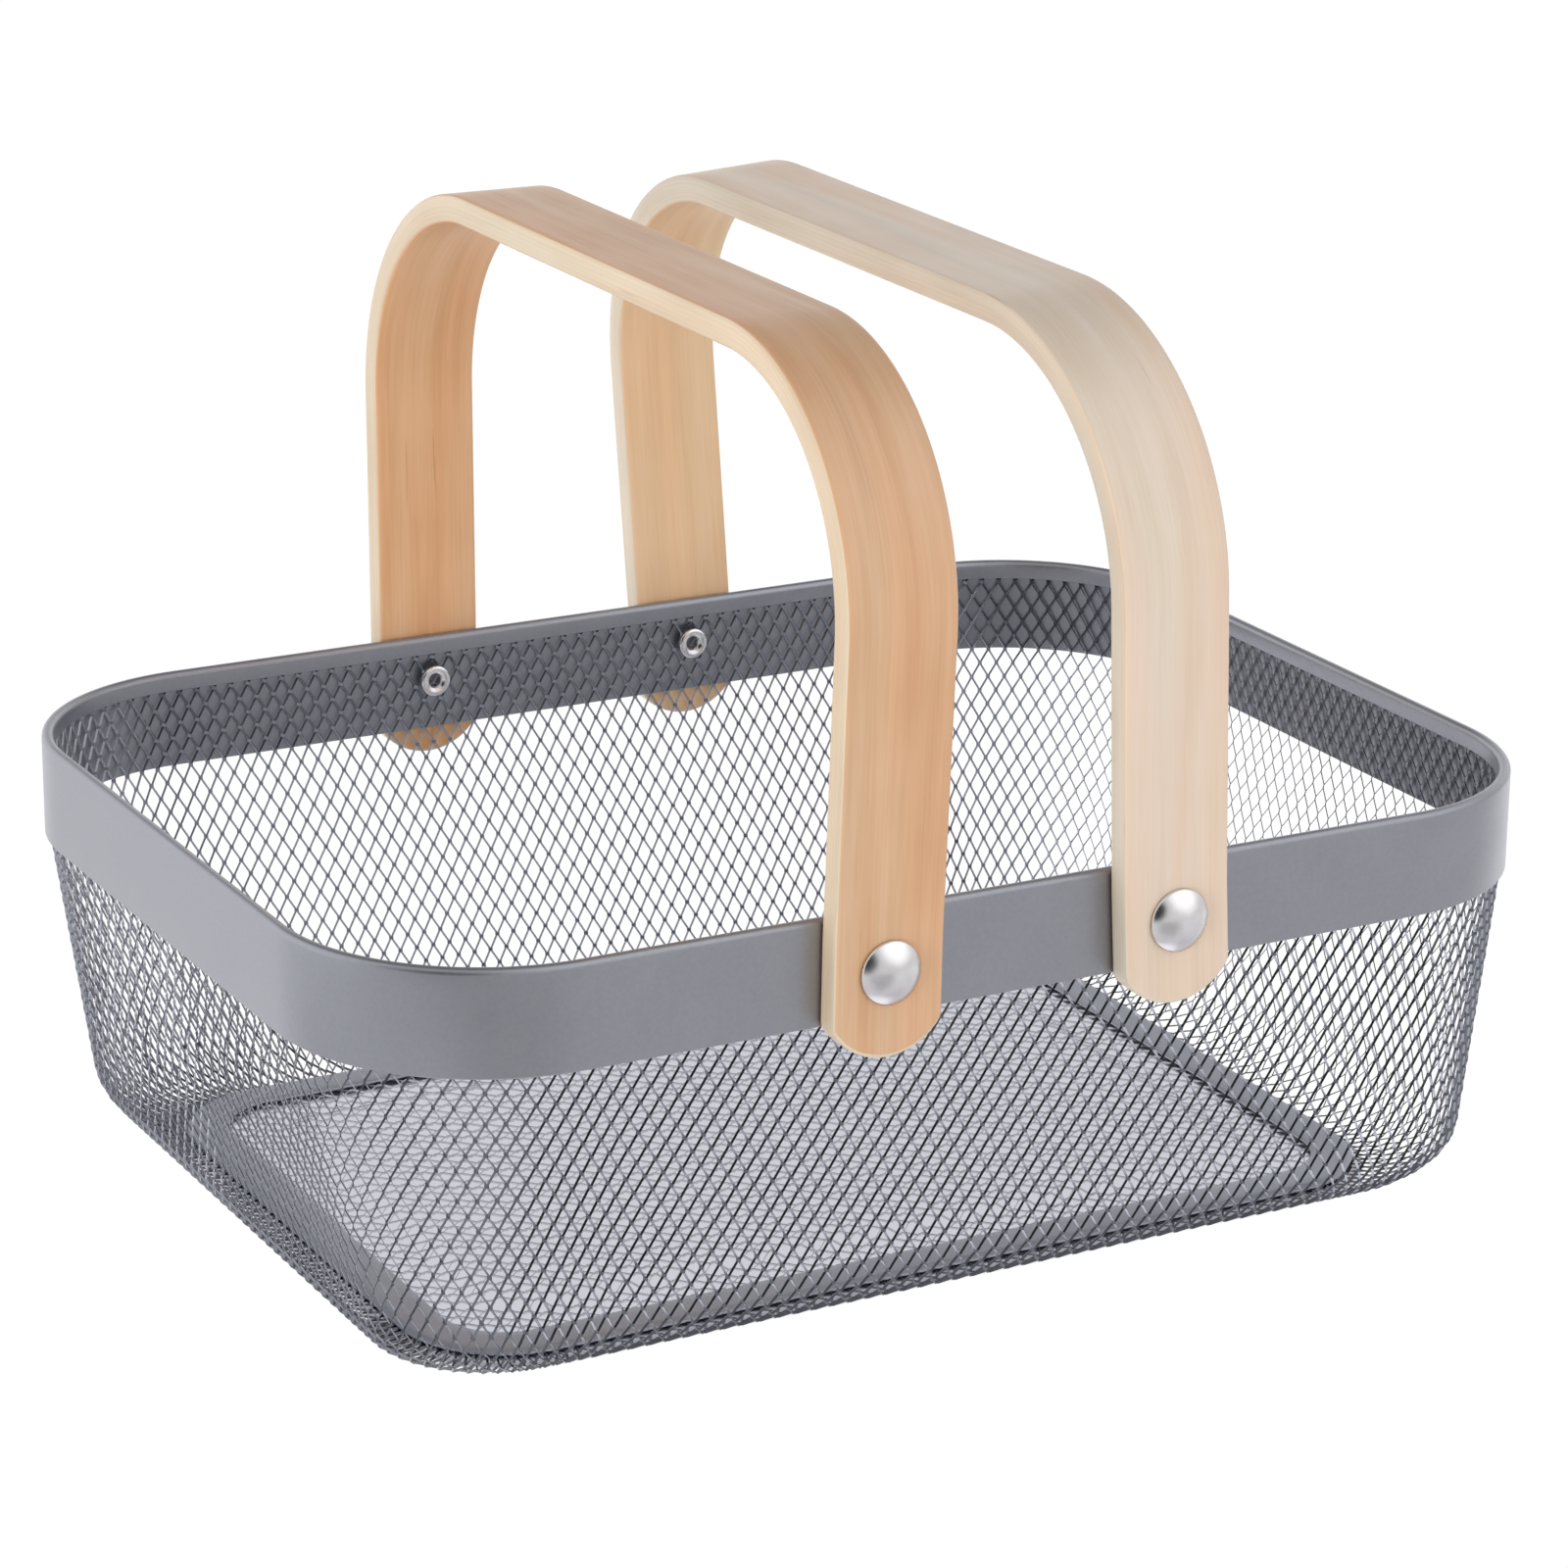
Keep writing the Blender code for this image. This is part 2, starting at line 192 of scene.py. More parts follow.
def swept_section(name, outline, section, height, smooth_angle=40):
    """A closed section of (inset, height) points carried round a level outline with outward normals."""
    points = []
    for x, y, nx, ny in outline:
        for inset, level in section:
            points.append((x - nx * inset, y - ny * inset, height + level))
    count = len(section)
    rings = len(outline)
    faces = []
    for ring in range(rings):
        after = (ring + 1) % rings
        for index in range(count):
            second = (index + 1) % count
            faces.append(
                (ring * count + index, ring * count + second, after * count + second, after * count + index)
            )
    return outward(to_mesh(name, points, faces), smooth_angle)


# ---------------------------------------------------------------- materials
def new_material(name):
    material = bpy.data.materials.new(name)
    material.use_nodes = True
    tree = material.node_tree
    shader = tree.nodes["Principled BSDF"]
    return material, tree, shader


def noise(tree, vector, scale, detail=3.0, roughness=0.5):
    made = tree.nodes.new("ShaderNodeTexNoise")
    made.inputs["Scale"].default_value = scale
    made.inputs["Detail"].default_value = detail
    made.inputs["Roughness"].default_value = roughness
    tree.links.new(vector, made.inputs["Vector"])
    return made.outputs["Fac"]


def ramp(tree, factor, stops):
    made = tree.nodes.new("ShaderNodeValToRGB")
    elements = made.color_ramp.elements
    while len(elements) < len(stops):
        elements.new(0.5)
    for element, (place, colour) in zip(elements, stops):
        element.position = place
        element.color = (*colour, 1.0)
    tree.links.new(factor, made.inputs["Fac"])
    return made.outputs["Color"]


def spread(tree, factor, low, high, from_low=0.3, from_high=0.7):
    made = tree.nodes.new("ShaderNodeMapRange")
    made.inputs["From Min"].default_value = from_low
    made.inputs["From Max"].default_value = from_high
    made.inputs["To Min"].default_value = low
    made.inputs["To Max"].default_value = high
    tree.links.new(factor, made.inputs["Value"])
    return made.outputs["Result"]


def bump(tree, height, distance, strength):
    made = tree.nodes.new("ShaderNodeBump")
    made.inputs["Strength"].default_value = strength
    made.inputs["Distance"].default_value = distance
    tree.links.new(height, made.inputs["Height"])
    return made.outputs["Normal"]


def place(tree):
    return tree.nodes.new("ShaderNodeTexCoord").outputs["Object"]


def multiplied(tree, first, second, amount):
    made = tree.nodes.new("ShaderNodeMix")
    made.data_type = "RGBA"
    made.blend_type = "MULTIPLY"
    made.inputs["Factor"].default_value = amount
    tree.links.new(first, made.inputs[6])
    tree.links.new(second, made.inputs[7])
    return made.outputs[2]


def blended(tree, first, second, amount):
    """A weighted mean of two grey values."""
    made = tree.nodes.new("ShaderNodeMix")
    made.data_type = "FLOAT"
    made.inputs["Factor"].default_value = amount
    tree.links.new(first, made.inputs[2])
    tree.links.new(second, made.inputs[3])
    return made.outputs[0]


def component(tree, vector, axis):
    split = tree.nodes.new("ShaderNodeSeparateXYZ")
    tree.links.new(vector, split.inputs["Vector"])
    return split.outputs[axis]


def scaled(tree, vector, scale):
    made = tree.nodes.new("ShaderNodeMapping")
    made.inputs["Scale"].default_value = scale
    tree.links.new(vector, made.inputs["Vector"])
    return made.outputs["Vector"]


def vector_math(tree, operation, first, second=None):
    made = tree.nodes.new("ShaderNodeVectorMath")
    made.operation = operation
    tree.links.new(first, made.inputs[0])
    if second is not None:
        made.inputs[1].default_value = second
    return made.outputs["Vector"]


def powder_coat(name, dark, light, low_rough, high_rough, metallic, peel, grain=1400, painted_band_light=None):
    """Powder coat on steel: fine orange peel, a faint mottle and a slightly uneven sheen; given a band level,
    also a painted contact shadow low down and a painted light level inside the band.
    """
    material, tree, shader = new_material(name)
    where = place(tree)
    mottle = noise(tree, where, 60, 3)
    fine = noise(tree, where, grain, 2)
    colour = ramp(tree, blended(tree, mottle, fine, 0.45), [(0.35, dark), (0.65, light)])
    if painted_band_light is not None:
        # painted shade: dark in the lowest few millimetres for the table's contact shadow, and scaled by the
        # band level inside the band, which paints shade below one and light above one
        height = spread(tree, component(tree, where, "Z"), 0.0, 1.0, 0.001, BODY_HEIGHT)
        stops = [(0.0, (0.30, 0.30, 0.32)), (0.125, CLEAR), (0.752, CLEAR), (0.762, (painted_band_light, painted_band_light, painted_band_light))]
        colour = multiplied(tree, colour, ramp(tree, height, stops), 1.0)
    tree.links.new(colour, shader.inputs["Base Color"])
    tree.links.new(spread(tree, mottle, low_rough, high_rough), shader.inputs["Roughness"])
    tree.links.new(bump(tree, fine, 0.00004, peel), shader.inputs["Normal"])
    shader.inputs["Metallic"].default_value = metallic
    return material


def wood(name, pale, middle, deep, edge=False):
    """Laminated veneer. The grain map holds metres: x across the strip, y along it."""
    material, tree, shader = new_material(name)
    grain = tree.nodes.new("ShaderNodeUVMap")
    grain.uv_map = "grain"
    across = grain.outputs["UV"]
    wide = scaled(tree, across, (1.0, 0.055, 1.0))
    long = scaled(tree, across, (1.0, 0.012, 1.0))
    figure = noise(tree, wide, 190, 4, 0.55)
    fibre = noise(tree, long, 1700, 3, 0.6)
    cloud = noise(tree, across, 28, 2)
    tone = blended(tree, blended(tree, figure, fibre, 0.38), cloud, 0.22)
    colour = ramp(tree, tone, [(0.34, deep), (0.50, middle), (0.66, pale)])
    # broad pinker and yellower stripes, and sparse short flecks
    stripe = ramp(tree, noise(tree, wide, 75, 2), [(0.36, (1.0, 0.93, 0.86)), (0.64, (0.96, 1.0, 1.0))])
    colour = multiplied(tree, colour, stripe, 1.0)
    fleck = ramp(tree, noise(tree, wide, 420, 1), [(0.74, CLEAR), (0.80, (0.70, 0.58, 0.48))])
    colour = multiplied(tree, colour, fleck, 0.7)
    if edge:
        # thin darker glue lines between the veneers
        ply = tree.nodes.new("ShaderNodeMath")
        ply.operation = "MULTIPLY"
        ply.inputs[1].default_value = 1.0 / VENEER_THICKNESS
        tree.links.new(component(tree, across, "X"), ply.inputs[0])
        part = tree.nodes.new("ShaderNodeMath")
        part.operation = "FRACT"
        tree.links.new(ply.outputs[0], part.inputs[0])
        line = ramp(tree, part.outputs[0], [(0.0, (0.72, 0.66, 0.60)), (0.10, CLEAR), (0.94, CLEAR)])
        colour = multiplied(tree, colour, line, 0.8)
    tree.links.new(colour, shader.inputs["Base Color"])
    tree.links.new(spread(tree, tone, 0.52, 0.38), shader.inputs["Roughness"])
    tree.links.new(bump(tree, fibre, 0.00003, 0.35), shader.inputs["Normal"])
    shader.inputs["Coat Weight"].default_value = 0.22
    shader.inputs["Coat Roughness"].default_value = 0.30
    shader.inputs["Specular IOR Level"].default_value = 0.40
    return material


def nickel(name):
    """Polished nickel with hairline turning marks and faint smudges, and painted shade on the lower halves of
    the domes.
    """
    material, tree, shader = new_material(name)
    where = place(tree)
    smudge = noise(tree, where, 260, 3)
    fine = noise(tree, where, 2600, 2)
    colour = ramp(tree, smudge, [(0.3, (0.79, 0.78, 0.795)), (0.7, (0.87, 0.86, 0.875))])
    # painted shade: the lower halves of the domes are painted darker
    height = spread(tree, component(tree, where, "Z"), 0.0, 1.0, PIVOT_Z - 0.008, PIVOT_Z + 0.008)
    painted_lower_shade = (0.74, 0.73, 0.765)
    colour = multiplied(tree, colour, ramp(tree, height, [(0.0, painted_lower_shade), (0.18, painted_lower_shade), (0.62, CLEAR)]), 1.0)
    tree.links.new(colour, shader.inputs["Base Color"])
    tree.links.new(spread(tree, smudge, 0.20, 0.28), shader.inputs["Roughness"])
    tree.links.new(bump(tree, fine, 0.00001, 0.15), shader.inputs["Normal"])
    shader.inputs["Metallic"].default_value = 1.0
    return material


mesh_coat = powder_coat(
    "mesh_powder_coat", (0.34, 0.354, 0.412), (0.41, 0.424, 0.484), 0.20, 0.28, 0.95, 0.35, painted_band_light=0.74
)
# painted shade: a darker copy of the mesh coat for the front half's bonds and rising strands, painted lighter
# again inside the band
front_shade_coat = powder_coat(
    "front_painted_shade_coat", (0.13, 0.137, 0.163), (0.18, 0.188, 0.22), 0.20, 0.28, 0.95, 0.35, painted_band_light=1.25
)
floor_coat = powder_coat(
    "floor_powder_coat", (0.31, 0.322, 0.37), (0.39, 0.402, 0.45), 0.30, 0.38, 0.60, 0.3
)
strip_coat = powder_coat(
    "strip_powder_coat", (0.350, 0.366, 0.430), (0.410, 0.428, 0.495), 0.34, 0.44, 0.70, 0.3
)
band_coat = powder_coat(
    "band_powder_coat", (0.315, 0.323, 0.362), (0.345, 0.354, 0.395), 0.36, 0.42, 0.90, 0.2, 900
)
warm_face = wood("warm_wood_face", (0.635, 0.405, 0.265), (0.58, 0.355, 0.212), (0.515, 0.295, 0.163))
warm_edge = wood("warm_wood_edge", (0.69, 0.57, 0.435), (0.635, 0.515, 0.38), (0.57, 0.44, 0.31), edge=True)
warm_inner = wood("warm_wood_inner", (0.735, 0.455, 0.27), (0.68, 0.398, 0.218), (0.60, 0.33, 0.165))
pale_face = wood("pale_wood_face", (0.695, 0.575, 0.49), (0.66, 0.535, 0.438), (0.605, 0.475, 0.37))
pale_edge = wood("pale_wood_edge", (0.71, 0.615, 0.505), (0.67, 0.562, 0.453), (0.60, 0.49, 0.378), edge=True)
pale_inner = wood("pale_wood_inner", (0.79, 0.565, 0.375), (0.745, 0.505, 0.31), (0.68, 0.435, 0.26))
polished = nickel("polished_nickel")


# ---------------------------------------------------------------- the bowl's middle surface
def surface_profile():
    """Arrays down the bowl's profile: distance, end inset, side inset, height, corner radius and slope."""
    lean = math.atan((END_WALL_LEAN + SIDE_WALL_LEAN) / 2)
    top_radius = RIM_CORNER_RADIUS - SHELL_MIDDLE
    rows = [
        (SHELL_MIDDLE, SHELL_MIDDLE, BODY_HEIGHT - MESH_TOP_GAP, top_radius, 0.0),
        (SHELL_MIDDLE, SHELL_MIDDLE, BAND_LOW, top_radius, 0.0),
    ]
    run = BAND_LOW - FLOOR_LEVEL - FLOOR_FILLET * (1 - math.sin(lean))
    for step in range(1, 25):
        drop = run * step / 24
        end = SHELL_MIDDLE + drop * END_WALL_LEAN
        side = SHELL_MIDDLE + drop * SIDE_WALL_LEAN
        radius = top_radius + (FLOOR_CORNER_RADIUS - top_radius) * step / 24
        rows.append((end, side, BAND_LOW - drop, radius, lean))
    centre_height = FLOOR_LEVEL + FLOOR_FILLET
    for step in range(1, 25):
        angle = lean + (math.pi / 2 - lean) * step / 24
        inset = FLOOR_FILLET * (math.cos(lean) - math.cos(angle))
        height = centre_height - FLOOR_FILLET * math.sin(angle)
        rows.append((end + inset, side + inset, height, FLOOR_CORNER_RADIUS, angle))
    rows.append((SEAM_INSET, SEAM_INSET, FLOOR_LEVEL, FLOOR_CORNER_RADIUS, math.pi / 2))
    end, side, height, radius, slope = (np.array(values) for values in zip(*rows))
    length = np.concatenate([[0.0], np.cumsum(np.hypot(np.diff(side), np.diff(height)))])
    return length, end, side, height, radius, slope


PROFILE = surface_profile()
DEPTH = PROFILE[0][-1]
KEEP_X = HALF_LENGTH - SEAM_INSET - FLOOR_CORNER_RADIUS
KEEP_Y = HALF_WIDTH - SEAM_INSET - FLOOR_CORNER_RADIUS
RIM_ARC = RIM_CORNER_RADIUS * math.pi / 2
ZONE = (HALF_WIDTH - RIM_CORNER_RADIUS - KEEP_Y) + RIM_ARC + (HALF_LENGTH - RIM_CORNER_RADIUS - KEEP_X)
QUARTER = KEEP_Y + ZONE + KEEP_X


def surface_point(column, down):
    """Point, level tangent, up-profile tangent and outward normal at a column (0 to COLUMNS) and depth."""
    length, end_at, side_at, height_at, radius_at, slope_at = PROFILE
    height = np.interp(down, length, height_at)
    radius = np.interp(down, length, radius_at)
    slope = np.interp(down, length, slope_at)
    half_x = HALF_LENGTH - np.interp(down, length, end_at)
    half_y = HALF_WIDTH - np.interp(down, length, side_at)
    around = (column / COLUMNS * 4) % 4
    quarter = np.floor(around).astype(int)
    along = (around - quarter) * QUARTER
    # the second and fourth quarters run from the +Y side to the next X side, so mirror them
    flip = (quarter % 2) == 1
    along = np.where(flip, QUARTER - along, along)
    on_x = along < KEEP_Y
    on_y = along > KEEP_Y + ZONE
    first = half_y - radius - KEEP_Y
    arc = radius * math.pi / 2
    second = half_x - radius - KEEP_X
    step = np.clip((along - KEEP_Y) / ZONE, 0, 1) * (first + arc + second)
    in_first = step < first
    in_arc = (~in_first) & (step < first + arc)
    angle = np.where(in_first, 0.0, np.where(in_arc, (step - first) / radius, math.pi / 2))
    x_on_arc = half_x - radius + radius * np.cos(angle)
    y_on_arc = half_y - radius + radius * np.sin(angle)
    x = np.where(in_first, half_x, np.where(in_arc, x_on_arc, half_x - radius - (step - first - arc)))
    y = np.where(in_first, KEEP_Y + step, np.where(in_arc, y_on_arc, half_y))
    x = np.where(on_x, half_x, np.where(on_y, QUARTER - along, x))
    y = np.where(on_x, along, np.where(on_y, half_y, y))
    angle = np.where(on_x, 0.0, np.where(on_y, math.pi / 2, angle))
    nx, ny = np.cos(angle), np.sin(angle)
    sign_x = np.where((quarter == 0) | (quarter == 3), 1.0, -1.0)
    sign_y = np.where(quarter < 2, 1.0, -1.0)
    x, y, nx, ny = x * sign_x, y * sign_y, nx * sign_x, ny * sign_y
    point = np.stack([x, y, height], -1)
    level = np.stack([-ny, nx, np.zeros_like(nx)], -1)
    normal = np.stack([nx * np.cos(slope), ny * np.cos(slope), -np.sin(slope)], -1)
    upward = np.cross(normal, level)
    return point, level, upward, normal


def ribbon_quads(rows, ribbons):
    """Quads of four-sided ribbons, closed at both ends. Vertex order is ribbon, row, corner."""
    corner = np.arange(4)
    base = (np.arange(ribbons)[:, None, None] * rows + np.arange(rows - 1)[None, :, None]) * 4
    a = base + corner
    b = base + (corner + 1) % 4
    sides = np.stack([a, b, b + 4, a + 4], -1).reshape(-1, 4)
    start = np.arange(ribbons)[:, None] * rows * 4
    first = start + np.array([3, 2, 1, 0])
    last = start + (rows - 1) * 4 + np.array([0, 1, 2, 3])
    return np.concatenate([sides, first, last])


def wobble(column, down, seed):
    """A slow, seeded unevenness in metres: the stretched sheet is never quite regular."""
    shift = np.zeros_like(column, dtype=float)
    source = np.random.default_rng(seed)
    for size in (0.9, 2.1, 4.3):
        phase = source.uniform(0, math.tau, 4)
        shift += np.sin(column * math.tau / COLUMNS * round(9 * size) + phase[0] + 38 * size * down) / size
        shift += np.sin(down * 70 * size + phase[1] + column * math.tau / COLUMNS * round(5 * size)) / size
    return shift


def wall_mesh(name, first, last):
    """The upright zigzag ribbons first to last-1 of the bowl, two to a column of diamonds."""
    ribbons = np.arange(first, last)
    downs = []
    sides = []
    for row in range(int(DEPTH / ROW) + 2):
        middle = row * ROW + FIRST_BOND
        for end in (-1, 1):
            downs.append(middle + end * ROW * BOND_SHARE / 2)
            sides.append(row)
    downs = np.clip(np.array(downs), 0.0, DEPTH)
    sides = np.array(sides)
    keep = np.concatenate([[True], np.diff(downs) > 1e-6])
    downs = downs[keep]
    sides = sides[keep]
    k, d = np.meshgrid(ribbons, downs, indexing="ij")
    row = np.broadcast_to(sides, k.shape)
    on_left = ((k + row) % 2) == 0
    grid = np.where(on_left, k, k + 1)
    column = grid / 2.0
    column = column + wobble(column, d, 5) * 0.020
    down = np.clip(d + wobble(column, d, 11) * 0.00008, 0.0, DEPTH)
    point, level, upward, normal = surface_point(column, down)
    across = level * math.cos(STRAND_TILT) + normal * math.sin(STRAND_TILT)
    thick = np.cross(across, upward)
    side = np.where(on_left, 1.0, -1.0)[..., None]
    centre = point + across * side * STRAND_WIDTH * BESIDE_BOND
    half_w = across * STRAND_WIDTH / 2
    half_t = thick * STRAND_THICKNESS / 2
    near_edge, far_edge = centre - half_w, centre + half_w
    corners = np.stack([near_edge - half_t, far_edge - half_t, far_edge + half_t, near_edge + half_t], 2)
    mesh = quad_mesh(name, corners.reshape(-1, 3), ribbon_quads(len(downs), len(ribbons)))
    # painted shade: on the front half the bonds, and the strands rising to +X, take the second, darker
    # material
    in_front = centre[:, :-1, 1] < 0
    rising = on_left[:, 1:] & ~on_left[:, :-1]
    darker = np.repeat((in_front & (rising | (sides[:-1] == sides[1:]))).ravel(), 4)
    darker = np.concatenate([darker, np.zeros(2 * len(ribbons), dtype=bool)])
    mesh.materials.append(mesh_coat)
    mesh.materials.append(front_shade_coat)
    mesh.polygons.foreach_set("material_index", darker.astype(np.int32))
    return mesh


per_part = COLUMNS * 2 // WALL_PARTS
for index, label in zip(range(WALL_PARTS), "abcd"):
    mesh = wall_mesh("mesh_wall_" + label, index * per_part, (index + 1) * per_part)
    add_piece("mesh_wall_" + label, mesh, None, "basket", ["mesh_bowl"])


# ---------------------------------------------------------------- floor panel
def inside_distance(x, y, half_x, half_y, radius):
    """Distance inwards from a rounded rectangle, positive inside."""
    qx = np.abs(x) - (half_x - radius)
    qy = np.abs(y) - (half_y - radius)
    outside = np.hypot(np.maximum(qx, 0), np.maximum(qy, 0)) + np.minimum(np.maximum(qx, qy), 0)
    return radius - outside


PITCH = 4 * QUARTER / COLUMNS


def floor_height(x, y):
    inside = inside_distance(x, y, INNER_X - CREASE_INSET, INNER_Y - CREASE_INSET, CREASE_RADIUS)
    t = np.clip((inside + STEP_HALF_WIDTH) / (2 * STEP_HALF_WIDTH), 0, 1)
    return FLOOR_LEVEL + STEP_RISE * t * t * (3 - 2 * t)


def floor_mesh(name):
    """Zigzag ribbons lying along X, stepped up inside the crease and trimmed under the strip."""
    half = PITCH / 2
    first = -int(INNER_Y / half) - 4
    points = []
    quads = []
    rows = int(2 * INNER_X / ROW) + 8
    start = -INNER_X - 3 * ROW
    tilt_cos = math.cos(FLOOR_TILT)
    tilt_sin = math.sin(FLOOR_TILT)
    for k in range(first, -first):
        xs = []
        sides = []
        for row in range(rows):
            for end in (-1, 1):
                xs.append(start + row * ROW + end * ROW * BOND_SHARE / 2)
                sides.append(row)
        xs = np.array(xs)
        sides = np.array(sides)
        on_left = ((k + sides) % 2) == 0
        y = np.where(on_left, k, k + 1) * half
        y = y + 0.00015 * np.sin(xs * 61 + k * 0.21) + 0.0001 * np.sin(xs * 23 + k * 0.6)
        inside = inside_distance(xs, y, INNER_X + FLOOR_TUCK, INNER_Y + FLOOR_TUCK, FLOOR_TUCK_RADIUS) > 0
        z = floor_height(xs, y)
        side = np.where(on_left, 1.0, -1.0)
        cy = y + side * FLOOR_STRAND_WIDTH * BESIDE_BOND * tilt_cos
        cz = z + side * FLOOR_STRAND_WIDTH * BESIDE_BOND * tilt_sin
        # width direction (0, cos, sin) and thickness direction (0, -sin, cos)
        wy, wz = tilt_cos * FLOOR_STRAND_WIDTH / 2, tilt_sin * FLOOR_STRAND_WIDTH / 2
        ty, tz = -tilt_sin * STRAND_THICKNESS / 2, tilt_cos * STRAND_THICKNESS / 2
        runs = np.flatnonzero(inside)
        if len(runs) < 2:
            continue
        lo, hi = runs[0], runs[-1] + 1
        ring = np.stack(
            [
                np.stack([xs, cy - wy - ty, cz - wz - tz], -1),
                np.stack([xs, cy - wy + ty, cz - wz + tz], -1),
                np.stack([xs, cy + wy + ty, cz + wz + tz], -1),
                np.stack([xs, cy + wy - ty, cz + wz - tz], -1),
            ],
            1,
        )[lo:hi]
        offset = sum(len(p) for p in points)
        points.append(ring.reshape(-1, 3))
        quads.append(ribbon_quads(hi - lo, 1) + offset)
    return quad_mesh(name, np.concatenate(points), np.concatenate(quads))


add_piece("floor_panel", floor_mesh("floor_panel"), floor_coat, "basket", ["floor_mesh"])


# ---------------------------------------------------------------- seam strips and rim band
def strip_section(low, high, lip):
    """A flat strip with round edges, whose outer edge is pressed up or down onto the mesh by lip."""
    half = (high - low) / 2
    middle = (low + high) / 2
    outer_edge = middle + lip * (1 - half / LIP_WIDTH) ** 2
    stations = []
    for inset in (half, 0.0008, 0.0012, 0.0016, 0.0022, 0.0050, 0.0085, STRIP_WIDTH - half):
        stations.append((inset, middle + lip * max(0.0, 1 - inset / LIP_WIDTH) ** 2))
    points = [(inset, level + half) for inset, level in stations]
    for step in range(1, 6):
        angle = math.pi / 2 - math.pi * step / 6
        points.append((STRIP_WIDTH - half + half * math.cos(angle), middle + half * math.sin(angle)))
    points += [(inset, level - half) for inset, level in reversed(stations)]
    for step in range(1, 6):
        angle = -math.pi / 2 - math.pi * step / 6
        points.append((half + half * math.cos(angle), outer_edge + half * math.sin(angle)))
    return points


strip_outline = rounded_rectangle(STRIP_X, STRIP_Y, FLOOR_CORNER_RADIUS, 20)
for name, low, high, lip in (
    ("base_ring_lower", 0.0, 0.0010, 0.0006),
    ("base_ring_upper", 0.0028, 0.0036, -0.0009),
):
    mesh = swept_section(name + "_strip", strip_outline, strip_section(low, high, lip), 0.0, 50)
    add_piece(name + "_strip", mesh, strip_coat, "basket", [name])


def band_section():
    """The folded band: skirt, round hem and short inner lip, with eased sheet edges."""
    outer = HEM_WIDTH / 2
    inner = outer - SHEET_THICKNESS
    half = SHEET_THICKNESS / 2
    points = []
    for step in range(5):
        angle = math.radians(270 - step * 22.5)
        points.append((half + half * math.cos(angle), -BAND_HEIGHT + half + half * math.sin(angle)))
    points.append((0.0, -BAND_HEIGHT * 0.55))
    points.append((0.0, -BAND_HEIGHT * 0.22))
    for step in range(13):
        angle = math.pi - math.pi * step / 12
        points.append((outer + outer * math.cos(angle), -outer + outer * math.sin(angle)))
    for step in range(7):
        angle = math.radians(0 - step * 30)
        points.append((HEM_WIDTH - half + half * math.cos(angle), -HEM_LIP + half + half * math.sin(angle)))
    for step in range(9):
        angle = math.pi * step / 8
        points.append((outer + inner * math.cos(angle), -outer + inner * math.sin(angle)))
    for step in range(4):
        angle = math.radians(360 - step * 22.5)
        points.append((half + half * math.cos(angle), -BAND_HEIGHT + half + half * math.sin(angle)))
    return points


def smooth_outline(steps):
    """The rim outline with extra stations along its straight sides."""
    corners = rounded_rectangle(HALF_LENGTH, HALF_WIDTH, RIM_CORNER_RADIUS, steps)
    full = []
    for index, here in enumerate(corners):
        after = corners[(index + 1) % len(corners)]
        full.append(here)
        gap = math.hypot(after[0] - here[0], after[1] - here[1])
        if gap > 0.05:
            for step in range(1, 12):
                share = step / 12
                x = here[0] + (after[0] - here[0]) * share
                y = here[1] + (after[1] - here[1]) * share
                full.append((x, y, here[2], here[3]))
    return full


band = swept_section("rim_band_hem", smooth_outline(28), band_section(), BODY_HEIGHT, 40)
add_piece("rim_band_hem", band, band_coat, "basket", ["rim_band"])


# ---------------------------------------------------------------- handles
def handle_path():
    """Stations (y, z, normal y, normal z, distance) along the outer face from the front foot to the back."""
    outer = FOOT_FACE + HANDLE_THICKNESS
    centre_y = outer + HANDLE_SPLAY - HANDLE_CORNER_RADIUS
    centre_z = HANDLE_RISE - HANDLE_CORNER_RADIUS
    away_y = outer - centre_y
    away_z = HANDLE_STRAIGHT - centre_z
    tangent = math.atan2(away_z, away_y) + math.acos(HANDLE_CORNER_RADIUS / math.hypot(away_y, away_z))
    end_y = centre_y + HANDLE_CORNER_RADIUS * math.cos(tangent)
    end_z = centre_z + HANDLE_CORNER_RADIUS * math.sin(tangent)
    half = []
    for step in range(9):
        half.append((outer, HANDLE_STRAIGHT * step / 8, 1.0, 0.0))
    for step in range(1, 13):
        share = step / 12
        y = outer + (end_y - outer) * share
        z = HANDLE_STRAIGHT + (end_z - HANDLE_STRAIGHT) * share
        half.append((y, z, math.cos(tangent), math.sin(tangent)))
    for step in range(1, 37):
        angle = tangent + (math.pi / 2 - tangent) * step / 36
        y = centre_y + HANDLE_CORNER_RADIUS * math.cos(angle)
        z = centre_z + HANDLE_CORNER_RADIUS * math.sin(angle)
        half.append((y, z, math.cos(angle), math.sin(angle)))
    for step in range(1, 7):
        half.append((centre_y * (1 - step / 6), HANDLE_RISE, 0.0, 1.0))
    front = [(-y, z, -ny, nz) for y, z, ny, nz in half]
    return front + list(reversed(half))[1:]


def foot_end(x):
    """Height of the foot's round end at a place across the strip."""
    return -FOOT_DROP + FOOT_END_RADIUS - math.sqrt(FOOT_END_RADIUS ** 2 - x * x)


